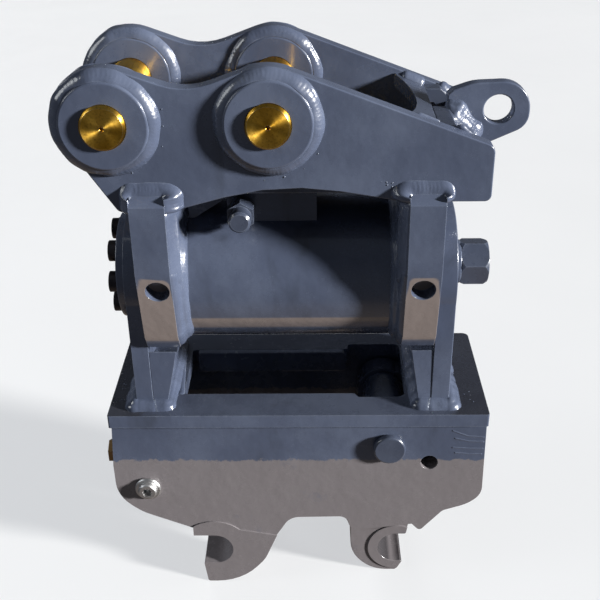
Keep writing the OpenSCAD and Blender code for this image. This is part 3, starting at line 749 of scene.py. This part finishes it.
# mm: right of the tilt axis's middle, down from the side plate's top to the run's end, length, fall
RUNS = ((166, 18, 36, 9), (169, 24, 33, 5), (167, 33, 35, 2), (170, 40, 31, 2))


def paint_runs():
    """Thin runs in the paint near the right end of the front side plate."""
    y = SIDE_LOW.y + 1.0 * MM
    above, below = -Y + Z * 0.9, -Y - Z * 0.9
    for k, (x0, z0, length, drop) in enumerate(RUNS):
        a = Vector((AXIS.x + x0 * MM, y, SIDE_HIGH.z - z0 * MM + drop * MM))
        b = a + Vector((length * MM, 0, -drop * MM))
        sag = a.lerp(b, 0.5) - Z * drop * 0.35 * MM
        frames = line(a, sag, above, below)[:-1] + line(sag, b, above, below)
        bead(f"paint_run_{k}", "lower_frame", frames, 1.5 * MM, seed=150 + k, crown=0.12, rough=0.3,
             material=PAINT)


def spatter(name, body, spots, seed):
    """Small painted droplets of weld metal. A spot is its centre, the face's normal, how far
    its droplets scatter and how many there are."""
    rng = random.Random(seed)
    mesh = bmesh.new()
    for centre, normal, spread, count in spots:
        for _ in range(count):
            away = Vector([rng.gauss(0, spread) for _ in range(3)])
            away -= normal * away.dot(normal)
            size = rng.uniform(0.35, 1.0) * MM
            ball = bmesh.ops.create_icosphere(mesh, subdivisions=2, radius=size)
            for v in ball["verts"]:
                v.co = v.co - normal * v.co.dot(normal) * 0.45 + centre + away
    add_piece(name, body, mesh, WELD_PAINT)


def ear_spatter():
    """Single droplets just outside the two bosses' welds, and a patch by the right saddle."""
    y = -EAR_OUT
    spots = []
    for which, start, stop in (("stick", -65, 15), ("link", 205, 335)):
        c = middle(f"boss_{which}_front")
        for a in range(start, stop + 1, 20):
            out = Vector((cos(radians(a)), 0, sin(radians(a))))
            spots.append((Vector((c.x, y, c.z)) + out * 51.5 * MM, -Y, 1.6 * MM, 1))
    low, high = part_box("saddle_right")
    spots.append((Vector((low.x - 20 * MM, y, high.z + 4 * MM)), -Y, 6 * MM, 8))
    spatter("spatter_ears", "ear_frame", spots, 5)


def base_spatter():
    """Droplets on the base plate in front of the right foot and outside both feet."""
    z = BASE_HIGH.z
    low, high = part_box("upright_right")
    spots = [(Vector((low.x, -74 * MM, z)), Z, 3 * MM, 3),
             (Vector((high.x + 16 * MM, -50 * MM, z)), Z, 6 * MM, 8)]
    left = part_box("upright_left")[0].x - 16 * MM
    spots += [(Vector((left, y0 * MM, z)), Z, 5 * MM, 5) for y0 in (-50, -20, 20, 50)]
    spatter("spatter_base", "lower_frame", spots, 6)


# ---- stage ----

SENSOR = 36.0                    # mm
FOCAL_PIXELS, FRAME_PIXELS = 967.0, 600.0
PITCH, YAW, ROLL = radians(28.7), radians(-0.9), radians(-0.8)
CAMERA_RIGHT, CAMERA_Y, CAMERA_UP = 0.023, -0.894, 0.445


def camera():
    """Seen from the front and above, as fitted to the photo's outlines."""
    data = bpy.data.cameras.new("camera")
    data.sensor_width = SENSOR
    data.lens = SENSOR * FOCAL_PIXELS / FRAME_PIXELS
    data.clip_end = 20.0
    ob = bpy.data.objects.new("camera", data)
    bpy.context.scene.collection.objects.link(ob)
    forward = Vector((sin(YAW) * cos(PITCH), cos(YAW) * cos(PITCH), -sin(PITCH)))
    level = Vector((cos(YAW), -sin(YAW), 0))
    upright = level.cross(forward)
    right = cos(ROLL) * level + sin(ROLL) * upright
    up = -sin(ROLL) * level + cos(ROLL) * upright
    place = Vector((AXIS.x, CAMERA_Y, AXIS.z)) + Vector((CAMERA_RIGHT, 0, CAMERA_UP))
    ob.matrix_world = Matrix.Translation(place) @ Matrix((right, up, -forward)).transposed().to_4x4()
    bpy.context.scene.camera = ob


def light(name, kind, offset, energy, colour, **settings):
    """A light at offset from the tilt axis's middle, aimed at it."""
    data = bpy.data.lights.new(name, kind)
    data.energy = energy
    data.color = colour
    for key, value in settings.items():
        setattr(data, key, value)
    ob = bpy.data.objects.new(name, data)
    bpy.context.scene.collection.objects.link(ob)
    ob.location = AXIS + Vector(offset)
    ob.rotation_euler = (-Vector(offset)).to_track_quat("-Z", "Y").to_euler()
    return ob


# heights from straight down, 0, to straight up, 1, with the room's colour there
SKY = ((0.00, (0.30, 0.245, 0.205, 1)), (0.13, (0.26, 0.215, 0.185, 1)), (0.22, (0.085, 0.085, 0.095, 1)),
       (0.50, (0.085, 0.090, 0.104, 1)), (0.75, (0.05, 0.055, 0.066, 1)), (1.00, (0.10, 0.11, 0.13, 1)))


def sky():
    """A dim room round the object: cool and dark overhead and at eye level, warm from below."""
    world = bpy.data.worlds.new("studio")
    world.use_nodes = True
    tree = world.node_tree
    place = tree.nodes.new("ShaderNodeTexCoord")
    split = tree.nodes.new("ShaderNodeSeparateXYZ")
    height = tree.nodes.new("ShaderNodeMapRange")
    height.inputs["From Min"].default_value = -1.0
    ramp = tree.nodes.new("ShaderNodeValToRGB")
    stops = ramp.color_ramp.elements
    while len(stops) < len(SKY):
        stops.new(0.5)
    for stop, (position, colour) in zip(stops, SKY):
        stop.position = position
        stop.color = colour
    tree.links.new(place.outputs["Generated"], split.inputs["Vector"])
    tree.links.new(split.outputs["Z"], height.inputs["Value"])
    tree.links.new(height.outputs["Result"], ramp.inputs["Fac"])
    tree.links.new(ramp.outputs["Color"], tree.nodes["Background"].inputs["Color"])
    bpy.context.scene.world = world


def floor():
    """A plain pale floor under the hooks, which the object neither reflects nor is lit by."""
    mesh = bmesh.new()
    bmesh.ops.create_grid(mesh, x_segments=8, y_segments=8, size=12.0)
    data = bpy.data.meshes.new("floor")
    mesh.to_mesh(data)
    mesh.free()
    ground = bpy.data.objects.new("floor", data)
    ground.location = (AXIS.x, 0, FLOOR)
    bpy.context.scene.collection.objects.link(ground)
    set_material(ground, floor_finish())
    ground.visible_diffuse = False
    ground.visible_glossy = False


def studio():
    """Key sun from the right, a soft light from the left and a faint one from behind."""
    light("key", "SUN", (1.86, -0.64, 0.50), 12.2, (1.0, 0.985, 0.96), angle=radians(7))
    light("left", "AREA", (-1.9, -0.4, 1.0), 14.0, (0.93, 0.97, 1.0), size=0.9)
    back = light("back", "SUN", (-0.7, 1.8, 0.16), 4.4, (0.95, 0.97, 1.0), angle=radians(30))
    back.visible_glossy = False
    sky()
    bpy.context.scene.view_settings.view_transform = "Standard"
    floor()


camera()
studio()
finish_cad()
boss_welds()
saddle_welds()
eye_welds()
belly_welds()
foot_welds()
frame_welds()
window_bead()
paint_runs()
ear_spatter()
base_spatter()
